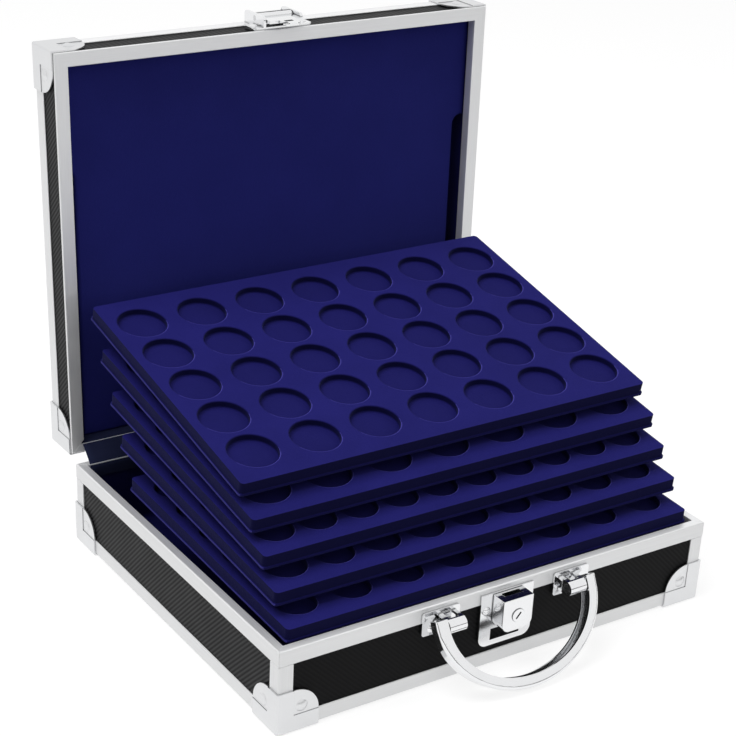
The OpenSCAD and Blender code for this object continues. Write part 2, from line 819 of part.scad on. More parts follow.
// Section of the handle: a channel with its back at +X and rounded outer edges
module bail_section() {
    difference() {
        union() {
            translate([-bail_w / 2, -bail_d / 2]) square([bail_w - bail_r, bail_d]);
            translate([bail_w / 2 - bail_r, bail_r - bail_d / 2]) square([bail_r, bail_d - 2 * bail_r]);
            for (s = [-1, 1])
                translate([bail_w / 2 - bail_r, s * (bail_d / 2 - bail_r)]) circle(bail_r);
        }
        translate([-bail_w, bail_t - bail_d / 2]) square([3 / 2 * bail_w - bail_t, bail_d - 2 * bail_t]);
    }
}

// The handle: a channel bent into a bail, open towards its middle, leaning away from the case
module handle_bail() {
    leg = handle_drop - bar_bend;
    bar_half = handle_half - bar_bend;
    color("#d9dade") placed() translate([0, -case_d / 2 - handle_out, handle_z]) rotate([-handle_lean, 0, 0])
        difference() {
            union() {
                for (s = [0, 1])
                    mirror([s, 0, 0]) {
                        translate([handle_half, 0, -leg]) linear_extrude(leg + bail_d / 2) bail_section();
                        translate([bar_half, 0, -leg]) rotate([90, 0, 0]) rotate([0, 0, -90])
                            rotate_extrude(angle = 90) translate([bar_bend, 0]) bail_section();
                    }
                translate([-bar_half, 0, -handle_drop]) rotate([0, 90, 0]) linear_extrude(2 * bar_half)
                    bail_section();
            }
            translate([-past / 2, 0, 0]) rotate([0, 90, 0]) cylinder(r = handle_pin_r + pin_fit, h = past);
        }
}

// One coin tray, drawn level with its front top edge at the origin: a moulded deck with a grid of
// round cells of diameter d, hollow underneath round the cups, and a foot flange
module coin_tray(d, wall) {
    translate([0, tray_d / 2, 0]) difference() {
        union() {
            translate([0, 0, -tray_t]) linear_extrude(tray_t) round_rect(deck_w, deck_d, tray_r);
            translate([0, 0, -tray_t]) linear_extrude(flange_h) round_rect(tray_w, tray_d, tray_r);
        }
        at_cells(d, wall) translate([0, 0, -cell_depth]) cylinder(d = d, h = cell_depth + 1);
        difference() {
            translate([0, 0, -tray_t - 1]) linear_extrude(tray_t + 1 - tray_wall)
                round_rect(deck_w - 2 * tray_wall, deck_d - 2 * tray_wall, tray_r - tray_wall);
            at_cells(d, wall) translate([0, 0, -cell_depth - tray_wall])
                cylinder(d = d + 2 * tray_wall, h = cell_depth + tray_wall);
        }
    }
}

// Copies a piece to every cell, of diameter d, of a tray
module at_cells(d, wall) {
    cols = cell_count(cells_w, d, wall);
    rows = cell_count(cells_d, d, cell_wall_y);
    for (i = [0 : cols - 1])
        for (j = [0 : rows - 1])
            translate([
                (i - (cols - 1) / 2) * (cells_w - d) / (cols - 1),
                (j - (rows - 1) / 2) * (cells_d - d) / (rows - 1),
                0
            ]) children();
}

// Tray number n of the fan, counted from the top
module tray(n) {
    k = n - 1;
    color("#1b1d72") placed()
        translate([0, fan_back - fan_step_y * k - case_d / 2, split_z + fan_rise - fan_step_z * k])
            rotate([fan_tilt - fan_step_tilt * k, 0, 0]) coin_tray(tray_cells[k][0], tray_cells[k][1]);
}

base_bottom_board();
base_panel(0);  // base_panel_front
base_panel(1);  // base_panel_right
base_panel(2);  // base_panel_back
base_panel(3);  // base_panel_left
base_rim(0);  // base_rim_front
base_rim(1);  // base_rim_right
base_rim(2);  // base_rim_back
base_rim(3);  // base_rim_left
base_edge(0);  // base_edge_front
base_edge(1);  // base_edge_right
base_edge(2);  // base_edge_back
base_edge(3);  // base_edge_left
base_corner_posts();
base_corner_caps();
base_cap_rivets();
base_lining();
lid_top_board();
lid_panel(0);  // lid_panel_front
lid_panel(1);  // lid_panel_right
lid_panel(2);  // lid_panel_back
lid_panel(3);  // lid_panel_left
lid_rim(0);  // lid_rim_front
lid_rim(1);  // lid_rim_right
lid_rim(2);  // lid_rim_back
lid_rim(3);  // lid_rim_left
lid_edge(0);  // lid_edge_front
lid_edge(1);  // lid_edge_right
lid_edge(2);  // lid_edge_back
lid_edge(3);  // lid_edge_left
lid_corner_posts();
lid_corner_caps();
lid_cap_rivets();
lid_lining();
lid_pad();
hinge_leaf_base();
hinge_leaf_lid();
hinge_pin();
lock_plate();
lock_box();
lock_key_barrel();
lock_bolt();
lock_rivets();
hasp_bracket();
hasp_pin();
hasp_tongue();
hasp_rivets();
handle_bracket_left();
handle_bracket_right();
handle_pins();
handle_bail();
tray(1);  // tray_1
tray(2);  // tray_2
tray(3);  // tray_3
tray(4);  // tray_4
tray(5);  // tray_5
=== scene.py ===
# %% [markdown]
# # Dressing a coin case
# The solids of the case arrive as a fixed frame: boards, extrusions, fittings, hinge and trays, all in
# metres and all in place. This lesson gives each of them its finish, and makes the soft pieces, which are
# flocked trays, a velour lining, a padded lid board and a cloth strip over the hinge, as new meshes. It also
# makes two rigid forms anew, the lid's wide rims and the round bail of the handle.

# %% Load the frame
import json
import math

import bmesh
import bpy
from mathutils import Matrix, Vector


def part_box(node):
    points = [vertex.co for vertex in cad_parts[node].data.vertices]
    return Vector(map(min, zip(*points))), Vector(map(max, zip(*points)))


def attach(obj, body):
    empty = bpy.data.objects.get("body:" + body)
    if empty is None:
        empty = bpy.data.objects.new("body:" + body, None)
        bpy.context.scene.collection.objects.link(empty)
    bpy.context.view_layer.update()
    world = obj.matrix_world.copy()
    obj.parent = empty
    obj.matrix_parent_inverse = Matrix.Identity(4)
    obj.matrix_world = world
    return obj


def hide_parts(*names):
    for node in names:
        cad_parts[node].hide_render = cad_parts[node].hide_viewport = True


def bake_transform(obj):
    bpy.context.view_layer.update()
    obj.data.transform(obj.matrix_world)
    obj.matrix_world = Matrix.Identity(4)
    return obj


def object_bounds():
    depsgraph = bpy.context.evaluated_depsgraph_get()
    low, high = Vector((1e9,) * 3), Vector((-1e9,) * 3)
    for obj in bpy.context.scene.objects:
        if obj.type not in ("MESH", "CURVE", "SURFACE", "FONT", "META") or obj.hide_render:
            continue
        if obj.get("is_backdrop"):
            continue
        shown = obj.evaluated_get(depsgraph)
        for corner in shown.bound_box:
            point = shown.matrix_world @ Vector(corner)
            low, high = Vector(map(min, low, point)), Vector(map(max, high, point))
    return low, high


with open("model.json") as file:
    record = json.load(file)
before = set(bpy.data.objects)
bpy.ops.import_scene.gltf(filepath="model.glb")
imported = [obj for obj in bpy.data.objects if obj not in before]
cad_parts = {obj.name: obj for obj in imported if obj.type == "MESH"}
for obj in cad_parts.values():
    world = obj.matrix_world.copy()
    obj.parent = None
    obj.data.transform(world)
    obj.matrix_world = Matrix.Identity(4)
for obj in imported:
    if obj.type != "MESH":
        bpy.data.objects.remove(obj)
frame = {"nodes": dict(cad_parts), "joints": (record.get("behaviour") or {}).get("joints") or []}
cad_low, cad_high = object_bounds()
MM = 0.001
TRAYS = range(1, 6)


def joint_named(name):
    """A joint of the frame, by its name."""
    return next(joint for joint in frame["joints"] if joint["name"] == name)


# %% [markdown]
# ## The camera
# A photograph taken from the left, above the case, sets the view. The lens is long and the picture is cut
# off-centre, so the camera has a shift as well as a turn. The eye is measured from the case's own front
# left edge, which keeps the view right if the frame's origin moves.

# %% Camera
PICTURE = 736
FOCAL = 1827
MIDDLE = (379.6, 539.7)
TURN, TIP, ROLL = (math.radians(angle) for angle in (34.93, 29.26, 3.14))
EYE = Vector((-365.3, -597.8, 499.8)) * MM
corner = Vector((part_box("base_rim_left")[0].x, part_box("base_rim_front")[0].y, 0))
ahead = Vector((math.sin(TURN) * math.cos(TIP), math.cos(TURN) * math.cos(TIP), -math.sin(TIP)))
across = Vector((math.cos(TURN), -math.sin(TURN), 0))
upward = across.cross(ahead)
rolled_across = across * math.cos(ROLL) + upward * math.sin(ROLL)
rolled_upward = upward * math.cos(ROLL) - across * math.sin(ROLL)
camera = bpy.data.objects.new("camera", bpy.data.cameras.new("camera"))
bpy.context.scene.collection.objects.link(camera)
camera.matrix_world = Matrix((
    (rolled_across.x, rolled_upward.x, -ahead.x, corner.x + EYE.x),
    (rolled_across.y, rolled_upward.y, -ahead.y, corner.y + EYE.y),
    (rolled_across.z, rolled_upward.z, -ahead.z, corner.z + EYE.z),
    (0, 0, 0, 1),
))
camera.data.lens = camera.data.sensor_width * FOCAL / PICTURE
camera.data.shift_x = (PICTURE / 2 - MIDDLE[0]) / PICTURE
camera.data.shift_y = (MIDDLE[1] - PICTURE / 2) / PICTURE
camera.data.clip_end = 50
bpy.context.scene.camera = camera
print("camera: lens", round(camera.data.lens, 1), "mm at", [round(v, 3) for v in camera.location])

# %% [markdown]
# ## Shader sums
# A finish is easier to read as a sum than as a web of nodes. One small class wraps a socket: adding,
# subtracting or multiplying two of them adds a Math node. Every other node comes from its node method,
# which sets the node up first and then fills its sockets.


# %% Shader sums
class Wire:
    """An output socket that can be used in sums; a wire with no socket is a tree's starting point."""

    def __init__(self, tree, socket=None):
        self.tree = tree
        self.socket = socket

    def node(self, kind, settings=None, inputs=None, out=0):
        """Adds a node, sets it up, fills its sockets and returns one of its outputs."""
        made = self.tree.nodes.new("ShaderNode" + kind)
        for name, value in (settings or {}).items():
            setattr(made, name, value)
        for key, value in (inputs or {}).items():
            place = self.find(made.inputs, key)
            if isinstance(value, Wire):
                self.tree.links.new(value.socket, place)
            else:
                place.default_value = value
        return Wire(self.tree, self.find(made.outputs, out) if made.outputs else None)

    @staticmethod
    def find(sockets, key):
        """A socket by its number, its identifier or its name."""
        if isinstance(key, int):
            return sockets[key]
        exact = [socket for socket in sockets if socket.identifier == key]
        return exact[0] if exact else sockets[key]

    def math(self, operation, first, second=0.0):
        return self.node("Math", {"operation": operation}, {0: first, 1: second})

    def __add__(self, other):
        return self.math("ADD", self, other)

    def __radd__(self, other):
        return self.math("ADD", other, self)

    def __sub__(self, other):
        return self.math("SUBTRACT", self, other)

    def __rsub__(self, other):
        return self.math("SUBTRACT", other, self)

    def __mul__(self, other):
        return self.math("MULTIPLY", self, other)

    def __rmul__(self, other):
        return self.math("MULTIPLY", other, self)


print("shader sums ready")

# %% [markdown]
# ## Shared shader pieces
# Most finishes are built from the same few things: noise on the object's own coordinates, a blend of two
# colours, and a bump. The last helper makes a whole material, with its fixed sockets in a table and its
# varying ones from a function.


# %% Shared shader pieces
def stretched(start, scale):
    """Object coordinates multiplied by a scale for each axis."""
    place = start.node("TexCoord", out="Object")
    return start.node("VectorMath", {"operation": "MULTIPLY"}, {0: place, 1: scale})


def noise(start, scale, detail=3.0, roughness=0.5):
    """Cloudy noise from 0 to 1, with so many clouds to the metre along each axis."""
    return start.node("TexNoise", None, {
        "Vector": stretched(start, scale), "Scale": 1.0, "Detail": detail, "Roughness": roughness,
    }, out="Fac")


def blend(start, amount, dark, light):
    """A colour between two others, which are three numbers or wires."""
    ends = [end if isinstance(end, Wire) else (*end, 1) for end in (dark, light)]
    return start.node("Mix", {"data_type": "RGBA"}, {
        "Factor_Float": amount, "A_Color": ends[0], "B_Color": ends[1],
    }, out="Result_Color")


def clamped(start, value):
    """A value kept between 0 and 1."""
    return start.node("Clamp", None, {0: value})


def bump(start, height, depth):
    """A normal bent by a height from 0 to 1 that stands for so many metres."""
    return start.node("Bump", None, {"Height": height, "Strength": 1.0, "Distance": depth}, out="Normal")


def finish(name, varying, fixed):
    """A material from a function that gives its varying sockets, and a table of its fixed ones."""
    material = bpy.data.materials.new(name)
    material.use_nodes = True
    material.node_tree.nodes.clear()
    start = Wire(material.node_tree)
    surface = start.node("BsdfPrincipled", None, {**fixed, **varying(start)}, out="BSDF")
    start.node("OutputMaterial", None, {"Surface": surface})
    return material


print("shared shader pieces ready")

# %% [markdown]
# ## Metals
# The extrusions are satin aluminium, drawn along their length, so their grain is a noise that is long in
# one direction and fine in the other two. The fittings are polished plating: nearly a mirror, with faint
# smears in its gloss, and with shade painted dark into the crevices, which an ambient occlusion node
# finds. The hinge is plain plated steel and the bolt is brass.

# %% Metals
GRAIN_FINE = 2600
GRAIN_LONG = 14
GRAIN_DEPTH = 0.012 * MM
SATIN_SMEAR = 60
PLATE_SMEAR = 90
PLATE_PITS = 1500
PIT_DEPTH = 0.006 * MM
# How far, and how dark, shade is painted into the crevices of the plating.
WIDE_SHADE_REACH = 1.5 * MM
NARROW_SHADE_REACH = 0.6 * MM
CREVICE_SHADE = (0.02, 0.02, 0.022)


def satin(direction):
    """Satin aluminium drawn along axis number direction."""
    scale = [GRAIN_FINE] * 3
    scale[direction] = GRAIN_LONG

    def varying(start):
        grain = noise(start, scale, 4.0)
        smear = noise(start, (SATIN_SMEAR,) * 3, 2.0)
        return {
            "Base Color": blend(start, grain, (0.8, 0.805, 0.812), (0.9, 0.904, 0.91)),
            "Roughness": 0.36 + 0.1 * grain + 0.06 * smear,
            "Normal": bump(start, grain, GRAIN_DEPTH),
        }

    return finish("satin_aluminium_" + "xyz"[direction], varying, {"Metallic": 0.6})


def plated(name, colour, gloss, shade_reach):
    """Plating with faint smears, and painted shade in crevices within so many metres, the last argument."""

    def varying(start):
        smear = noise(start, (PLATE_SMEAR,) * 3, 3.0)
        pits = noise(start, (PLATE_PITS,) * 3, 2.0)
        paler = tuple(min(1.0, part * 1.08) for part in colour)
        # Ambient occlusion paints shade into the crevices, darkening the colour towards near black.
        open_air = start.node("AmbientOcclusion", {"samples": 8}, {"Distance": shade_reach}, out="AO")
        unshaded = clamped(start, open_air * 1.6 - 0.4)
        return {
            "Base Color": blend(start, unshaded, CREVICE_SHADE, blend(start, smear, colour, paler)),
            "Roughness": gloss + 0.07 * smear,
            "Normal": bump(start, pits, PIT_DEPTH),
        }

    return finish(name, varying, {"Metallic": 1.0})


satin_by_run = [satin(direction) for direction in range(3)]
polished = plated("polished_plating", (0.78, 0.785, 0.795), 0.07, WIDE_SHADE_REACH)
pressed_satin = plated("pressed_satin", (0.7, 0.705, 0.715), 0.28, NARROW_SHADE_REACH)
hinge_steel = plated("hinge_steel", (0.62, 0.625, 0.635), 0.2, NARROW_SHADE_REACH)
bolt_brass = plated("bolt_brass", (0.68, 0.52, 0.22), 0.22, NARROW_SHADE_REACH)
print("metals:", [m.name for m in [*satin_by_run, polished, pressed_satin, hinge_steel, bolt_brass]])

# %% [markdown]
# ## Black laminate
# The boards are faced with a black sheet that is embossed with fine diagonal ribs. The ribs are a sine of
# two coordinates added together, so a board needs to know which two axes lie in its face. The crests of the
# ribs are painted paler as a highlight: strongly on the side boards, faintly on the front, and between the
# two on flat boards, so each kind of face has its own lit or shaded copy of the laminate.

# %% Black laminate
RIB_PITCH = 2 * MM
RIB_DEPTH = 0.12 * MM
SCUFFS = 70
SPECKS = 1900
BLACK = (0.0045, 0.0045, 0.005)


def laminate(name, first, second, valley, crest_highlight):
    """Black sheet with diagonal ribs across axes number first and second, the crests painted paler as a
    highlight.
    """

    def varying(start):
        place = start.node("TexCoord", out="Object")
        split = [start.node("SeparateXYZ", None, {0: place}, out=axis) for axis in (first, second)]
        turns = (split[0] + split[1]) * (2 * math.pi / (RIB_PITCH * math.sqrt(2)))
        rib = 0.5 + 0.5 * start.math("SINE", turns)
        scuff = noise(start, (SCUFFS,) * 3, 4.0)
        speck = noise(start, (SPECKS,) * 3, 2.0)
        return {
            # The rib crests get a painted highlight, and the valleys stay black.
            "Base Color": blend(start, rib, valley, crest_highlight),
            "Roughness": 0.42 + 0.14 * scuff,
            "Normal": bump(start, rib + 0.15 * speck, RIB_DEPTH),
        }

    return finish(name, varying, {"IOR": 1.45, "Specular IOR Level": 0.08})


# Lit and shaded copies of one laminate: a strong painted highlight on the side boards, a faint one on the
# front.
laminate_by_face = {
    "side": laminate("laminate_side", 1, 2, BLACK, (0.05, 0.05, 0.052)),
    "front": laminate("laminate_front", 0, 2, BLACK, (0.009, 0.009, 0.0095)),
    "flat": laminate("laminate_flat", 0, 1, BLACK, (0.02, 0.02, 0.021)),
}
print("laminates:", sorted(laminate_by_face))

# %% [markdown]
# ## Velour and flock
# Both cloths are short blue piles. A pile looks darker where it leans towards the light and paler where it
# leans away, so a slow noise mixes two blues, and a very fine one bends the normal as the fibres do. Sheen
# gives the pale edge that a pile shows at a low angle. A flocked tray also has light and shade painted into
# its colour: painted shade on the drawn walls, the cell floors and the front of the foot flange, and a
# painted highlight along the near rims of the cells and the sides of the foot flange, while the far rims are
# painted a little darker than the deck. An attribute of the tray's faces, called tone, tells the material
# which is which.

# %% Velour and flock
FIBRES = 2300
TUFTS = 620
PILE_DEPTH = 0.22 * MM
# The blues of the flock's painted shade on the walls and its painted highlight on the rims.
WALL_SHADE_BLUE = (0.0032, 0.0032, 0.036)
RIM_HIGHLIGHT_BLUE = (0.06, 0.055, 0.3)


def toned(start, colour):
    """Colour on faces of tone 0.5, with painted shade towards 0 and a painted highlight towards 1."""
    tone = start.node("Attribute", {"attribute_name": "tone"}, None, out="Fac")
    # Painted shade towards the walls' blue, then a painted highlight towards the rims' blue.
    walls = blend(start, clamped(start, 2 * tone), WALL_SHADE_BLUE, colour)
    return blend(start, clamped(start, 2 * tone - 1), walls, RIM_HIGHLIGHT_BLUE)


def pile(name, deep, pale, nap, sheen, by_tone=False):
    """A short blue pile with brushed patches nap to the metre."""

    def varying(start):
        patch = noise(start, (nap,) * 3, 4.0, 0.6)
        fibre = noise(start, (FIBRES,) * 3, 2.0, 0.7)
        tuft = noise(start, (TUFTS,) * 3, 3.0, 0.6)
        amount = 0.55 * patch + 0.3 * fibre + 0.15 * tuft
        colour = blend(start, amount, deep, pale)
        return {
            "Base Color": toned(start, colour) if by_tone else colour,
            "Roughness": 0.85 + 0.12 * fibre,
            "Normal": bump(start, 0.6 * fibre + 0.4 * tuft, PILE_DEPTH),
        }

    return finish(name, varying, {
        "Sheen Weight": sheen, "Sheen Roughness": 0.35, "Sheen Tint": (0.2, 0.22, 0.75, 1),
        "Specular IOR Level": 0.15,
    })


tray_flock = pile("tray_flock", (0.006, 0.0058, 0.07), (0.018, 0.0165, 0.165), 28, 0.15, by_tone=True)
lid_velour = pile("lid_velour", (0.008, 0.0095, 0.1), (0.024, 0.027, 0.22), 16, 0.25)
lining_velour = pile("lining_velour", (0.003, 0.003, 0.03), (0.01, 0.01, 0.085), 30, 0.2)
strip_cloth = pile("strip_cloth", (0.006, 0.008, 0.024), (0.02, 0.025, 0.066), 40, 0.2)
print("piles:", [m.name for m in (tray_flock, lid_velour, lining_velour, strip_cloth)])

# %% [markdown]
# ## Finishing the frame's own solids
# The rigid solids already have their true shape, so they stay, and only get a material. Their edges are
# eased by modifiers: the loose triangles are welded, a small bevel breaks each sharp edge, and weighted
# normals keep the flat faces flat.

# %% Finish the solids
EASE = {"satin": 0.35, "polished": 0.25, "steel": 0.15, "laminate": 0.12}
SHARP = math.radians(40)
WELD = 0.01 * MM
RUNS = {"front": 0, "back": 0, "left": 1, "right": 1}


def ease_edges(made, ease):
    """Breaks the sharp edges of a piece by so many millimetres."""
    bevel = made.modifiers.new("ease", "BEVEL")
    bevel.width = ease * MM
    bevel.segments = 2
    bevel.limit_method = "ANGLE"
    bevel.angle_limit = SHARP


def dress(node, material, ease):
    """Gives a solid its material and eased edges."""
    solid = frame["nodes"][node]
    solid.data.materials.clear()
    solid.data.materials.append(material)
    weld = solid.modifiers.new("weld", "WELD")
    weld.merge_threshold = WELD
    ease_edges(solid, ease)
    weighted = solid.modifiers.new("weighted", "WEIGHTED_NORMAL")
    weighted.keep_sharp = True


def finish_of(node):
    """Material and edge size for a rigid solid, from its name."""
    side = node.rsplit("_", 1)[-1]
    if "panel" in node:
        return laminate_by_face["front" if RUNS[side] == 0 else "side"], EASE["laminate"]
    if node == "base_bottom_board":
        return laminate_by_face["flat"], EASE["laminate"]
    if node == "lid_top_board":
        return laminate_by_face["front"], EASE["laminate"]
    if "_rim_" in node or "_edge_" in node:
        run = RUNS[side]
        return satin_by_run[2 if run == 1 and node.startswith("lid") else run], EASE["satin"]
    if "posts" in node:
        return satin_by_run[1 if node.startswith("lid") else 2], EASE["satin"]
    if "corner_caps" in node or "cap_rivets" in node:
        return pressed_satin, EASE["satin"]
    if node == "lock_bolt":
        return bolt_brass, EASE["steel"]
    if node.startswith("hinge") or "pin" in node:
        return hinge_steel, EASE["steel"]
    return polished, EASE["polished"]


SOFT = {"base_lining", "lid_lining", "lid_pad"} | {f"tray_{number}" for number in TRAYS}
for node in frame["nodes"]:
    if node not in SOFT:
        dress(node, *finish_of(node))
print("dressed", len(frame["nodes"]) - len(SOFT), "solids")

# %% [markdown]
# ## Making pieces
# A new piece is a mesh whose place is in its points. The first helper turns a bmesh into an object, smooths
# it, gives it a material and the body that it moves with. The others are steps that several pieces share:
# a wall thickness, flat shading, rounded edges or corners, an extruded loop and a cut through the mesh.


# %% Making pieces
def piece(name, bm, material, body=None, place=None):
    """Makes an object from a bmesh, moved into place, that rides on a body if one is given."""
    if place is not None:
        bmesh.ops.transform(bm, matrix=place, verts=bm.verts)
    mesh = bpy.data.meshes.new(name)
    bm.to_mesh(mesh)
    bm.free()
    for face in mesh.polygons:
        face.use_smooth = True
    mesh.materials.append(material)
    made = bpy.data.objects.new(name, mesh)
    bpy.context.scene.collection.objects.link(made)
    if body:
        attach(made, body)
    return made


def thicken(made, thickness, offset):
    """Gives a sheet its thickness; offset -1 grows against its normals and 1 along them."""
    wall = made.modifiers.new("wall", "SOLIDIFY")
    wall.thickness = thickness
    wall.offset = offset
    wall.use_even_offset = True
    return wall


def flatten_shading(made):
    """Keeps large faces flat beside small rounded ones."""
    weighted = made.modifiers.new("weighted", "WEIGHTED_NORMAL")
    weighted.keep_sharp = False
    return weighted


def round_edges(bm, edges, radius, segments):
    """Rounds edges of a bmesh with so many segments and returns the new faces."""
    return bmesh.ops.bevel(
        bm, geom=list(edges), offset=radius, offset_type="OFFSET", affect="EDGES", segments=segments,
        profile=0.5, material=-1, clamp_overlap=True,
    )["faces"]


def round_corners(bm, points, radius, segments):
    """Rounds the corners of a flat outline and returns what was made."""
    return bmesh.ops.bevel(
        bm, geom=points, offset=radius, offset_type="OFFSET", affect="VERTICES", segments=segments,
        profile=0.5, material=-1,
    )


def points_of(made):
    """The points among the elements that an extrusion made."""
    return [part for part in made if isinstance(part, bmesh.types.BMVert)]


def draw_out(bm, edges, move=(0, 0, 0), grow=None):
    """Extrudes a line of edges, moves it and grows it sideways; returns the new line."""
    made = bmesh.ops.extrude_edge_only(bm, edges=edges)["geom"]
    points = points_of(made)
    bmesh.ops.translate(bm, vec=move, verts=points)
    if grow:
        bmesh.ops.scale(bm, vec=grow, verts=points)
    fresh = set(points)
    return [part for part in made if isinstance(part, bmesh.types.BMEdge) and set(part.verts) <= fresh]


def cut_through(bm, point, normal):
    """Cuts all faces along a plane."""
    everything = bm.verts[:] + bm.edges[:] + bm.faces[:]
    bmesh.ops.bisect_plane(bm, geom=everything, plane_co=point, plane_no=normal)


print("helpers ready")

# %% [markdown]
# ## Coin trays
# A tray is one sheet of plastic, drawn down into round cells and flocked. So it is made as a sheet: a
# rectangle and a grid of circles are filled in between, each circle is pushed down into a cup, and the rim
# of every cup is rounded, as a drawn sheet is. The skirt and the foot flange are drawn down from the outer
# edge, and a Solidify modifier gives the sheet its wall, so the cups also show underneath. Each tray suits
# its own coins: the upper two have the largest cells, and the lower ones have smaller cells, closer or
# further apart. A grid is the cells' diameter in millimetres, their columns and their rows.

# %% Tray sizes
TRAY_HEIGHT = 7 * MM
TRAY_WALL = 1.1 * MM
FLANGE_WIDTH = 0.6 * MM
FLANGE_HEIGHT = 1.2 * MM
TRAY_CORNER = 2.2 * MM
CELL_DEPTH = 3.6 * MM
CELL_MARGIN = (5.9 * MM, 9.2 * MM)
CELL_GRIDS = {1: (25.6, 7, 5), 2: (25.6, 7, 5), 3: (20.4, 10, 6), 4: (21.8, 9, 5), 5: (20.8, 8, 6)}
CELL_SIDES = 44
CELL_RIM = 0.6 * MM
CELL_FOOT = 0.7 * MM
DECK_EDGE = 1.9 * MM
tray_low, tray_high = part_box("tray_5")
tray_width = tray_high.x - tray_low.x
tilts = {
    number: math.radians(-joint["range_deg"][0])
    for number in TRAYS
    for joint in frame["joints"]
    if joint["child"] == f"tray_{number}"
}
tray_depth = (tray_high.y - tray_low.y - FLANGE_HEIGHT * math.sin(tilts[5])) / math.cos(tilts[5])
print("trays:", [round(math.degrees(tilt), 2) for tilt in tilts.values()], "depth", round(tray_depth, 4))

# %% [markdown]
# The mesh is made level and centred, with its deck at height zero. The tones, which paint light and shade
# into the flock's colour, are set last, from the way each face points.

# %% Tray mesh
# Painted shade and highlight of the flock: cell floors and front flanges darker, side flanges and near rims
# paler, far rims a little darker than the deck.
CELL_FLOOR_SHADE = 0.7
LIT_SIDE_FLANGE, SHADED_FRONT_FLANGE = 0.8, 0.2
LIT_NEAR_RIM, SHADED_FAR_RIM = 0.9, 0.35


def rounded_loop(bm, width, depth, corner):
    """Edges of a rectangle with round corners, level at z = 0."""
    made = bmesh.ops.create_grid(bm, x_segments=1, y_segments=1, size=0.5)
    bmesh.ops.scale(bm, vec=(width, depth, 1), verts=made["verts"])
    rounded = round_corners(bm, made["verts"], corner, 6)
    bmesh.ops.delete(bm, geom=rounded["faces"] or bm.faces[:], context="FACES_ONLY")
    return list(bm.edges)


def set_tones(bm, tone, rims):
    """Marks faces for the flock's painted light: 0 (painted shade) on upright walls, 0.5 on level faces and
    towards 1 (painted highlight) on lit edges.
    """
    for face in bm.faces:
        # Painted shade: a face is painted darker the further it turns from facing up, and darker still on the
        # cell floors.
        face[tone] = 0.5 * max(0.0, face.normal.z)
        if face.calc_center_median().z < -0.9 * CELL_DEPTH:
            face[tone] *= CELL_FLOOR_SHADE
        # Painted light on the foot flange: a highlight on its sides and shade on its front and back.
        if face.calc_center_median().z < FLANGE_HEIGHT - TRAY_HEIGHT - 0.1 * MM:
            face[tone] = LIT_SIDE_FLANGE if abs(face.normal.x) > 0.7 else SHADED_FRONT_FLANGE
    # Painted highlight on the near rims of the cells and painted shade on the far rims.
    for face in rims:
        if face.normal.z > 0.5:
            face[tone] = LIT_NEAR_RIM if face.normal.y > 0.1 else SHADED_FAR_RIM


def tray_sheet(diameter, columns, rows):
    """The drawn sheet of one level tray, deck at z = 0 and centred, with its grid of cells."""
    bm = bmesh.new()
    tone = bm.faces.layers.float.new("tone")
    deck = (tray_width - 2 * FLANGE_WIDTH, tray_depth - 2 * FLANGE_WIDTH)
    rim = rounded_loop(bm, *deck, TRAY_CORNER)
    pitch = [
        (size - 2 * margin - diameter) / (count - 1)
        for size, margin, count in zip((tray_width, tray_depth), CELL_MARGIN, (columns, rows))
    ]
    circles = []
    for column in range(columns):
        for row in range(rows):
            centre = ((column - (columns - 1) / 2) * pitch[0], (row - (rows - 1) / 2) * pitch[1], 0)
            made = bmesh.ops.create_circle(
                bm, cap_ends=False, radius=diameter / 2, segments=CELL_SIDES,
                matrix=Matrix.Translation(centre),
            )
            circles.append(list({edge for vert in made["verts"] for edge in vert.link_edges}))
    around = rim + [edge for circle in circles for edge in circle]
    bmesh.ops.triangle_fill(bm, use_beauty=True, use_dissolve=False, edges=around, normal=(0, 0, 1))
    feet = []
    for circle in circles:
        foot = draw_out(bm, circle, (0, 0, -CELL_DEPTH))
        bmesh.ops.contextual_create(bm, geom=foot)
        feet += foot
    skirt = draw_out(bm, rim, (0, 0, FLANGE_HEIGHT - TRAY_HEIGHT))
    flange = draw_out(bm, skirt, grow=(tray_width / deck[0], tray_depth / deck[1], 1))
    draw_out(bm, flange, (0, 0, -FLANGE_HEIGHT))
    bmesh.ops.recalc_face_normals(bm, faces=bm.faces[:])
    bm.normal_update()
    round_edges(bm, feet, CELL_FOOT, 3)
    round_edges(bm, rim, DECK_EDGE, 5)
    cell_rims = round_edges(bm, [edge for circle in circles for edge in circle], CELL_RIM, 3)
    bm.normal_update()
    set_tones(bm, tone, cell_rims)
    return bm


print("tray mesh ready")

# %% [markdown]
# Each tray hangs at its own tilt, which is the far limit of the hinge that sets it down. Its place is found
# from its solid's box: the lowest front edge and the tilt give the front of its deck.

# %% Trays in place
for number, tilt in tilts.items():
    node = f"tray_{number}"
    low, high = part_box(node)
    front = low.y - (TRAY_HEIGHT - FLANGE_HEIGHT) * math.sin(tilt)
    top = low.z + TRAY_HEIGHT * math.cos(tilt)
    place = (
        Matrix.Translation((0, front, top)) @ Matrix.Rotation(tilt, 4, "X")
        @ Matrix.Translation((0, tray_depth / 2, 0))
    )
    diameter, columns, rows = CELL_GRIDS[number]
    tray = piece(f"{node}_flocked", tray_sheet(diameter * MM, columns, rows), tray_flock, node, place)
    thicken(tray, TRAY_WALL, -1)
    flatten_shading(tray)
    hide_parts(node)
    print(tray.name, "faces", len(tray.data.polygons), "up", tray.data.polygons[0].normal.z > 0)

# %% [markdown]
# ## Lining of the base
# The inside of the base is covered with velour, glued to the boards below the rim's lip. It is an open box
# with soft inner corners: a cube without its top, with its edges rounded, thickened outwards to the boards.
# The solid lining runs on over the lip at the hinge, so the velour stops a little below that solid's top.

